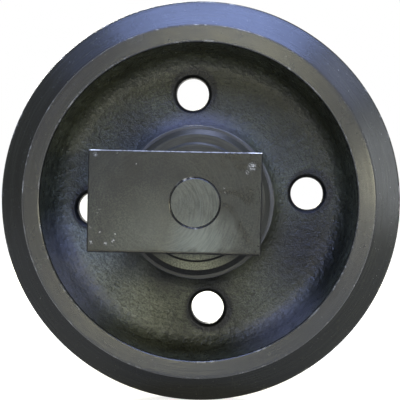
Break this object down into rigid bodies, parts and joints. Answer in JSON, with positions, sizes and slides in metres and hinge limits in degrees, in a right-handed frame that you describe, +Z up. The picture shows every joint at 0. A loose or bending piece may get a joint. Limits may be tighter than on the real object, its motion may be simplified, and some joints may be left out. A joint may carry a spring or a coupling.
{
  "type": "crawler front idler",
  "caption": "Front idler for a crawler track: a wheel with a centre guide flange and dished web turns on a sealed, oil-filled shaft between two sliding brackets.",
  "frame": {"origin": "middle of the wheel, on its axis, which is also the middle of the overall box", "axes": "+Y along the axle, from the outer side that the picture shows to the inner side; +X away from the recoil yoke; +Z up"},
  "size_m": [0.43, 0.26, 0.43],
  "materials": {
    "wheel_paint": "black semi-gloss paint over a rough casting",
    "bracket_paint": "black semi-gloss paint, ground faces",
    "shaft_steel": "ground steel, ends painted",
    "pin_steel": "ground steel",
    "bush_bronze": "turned bronze",
    "seal_iron": "lapped alloy iron",
    "ring_rubber": "smooth rubber",
    "plug_steel": "zinc plated steel",
    "washer_copper": "soft copper"
  },
  "bodies": {
    "carrier": {"shaft": "shaft_steel", "bracket_front": "bracket_paint", "seal_ring_fixed_front": "seal_iron", "load_ring_fixed_front": "ring_rubber", "lock_pin_front": "pin_steel", "o_ring_front": "ring_rubber", "bracket_rear": "bracket_paint", "seal_ring_fixed_rear": "seal_iron", "load_ring_fixed_rear": "ring_rubber", "lock_pin_rear": "pin_steel", "o_ring_rear": "ring_rubber", "oil_plug": "plug_steel", "plug_washer": "washer_copper"},
    "wheel": {"idler_wheel": "wheel_paint", "bush_front": "bush_bronze", "bush_rear": "bush_bronze", "seal_ring_turning_front": "seal_iron", "seal_ring_turning_rear": "seal_iron", "load_ring_turning_front": "ring_rubber", "load_ring_turning_rear": "ring_rubber"}
  },
  "joints": [
    {"name": "wheel_spin", "type": "hinge", "parent": "carrier", "child": "wheel", "pos_m": [0, 0, 0], "axis": [0, 1, 0], "continuous": true}
  ]
}
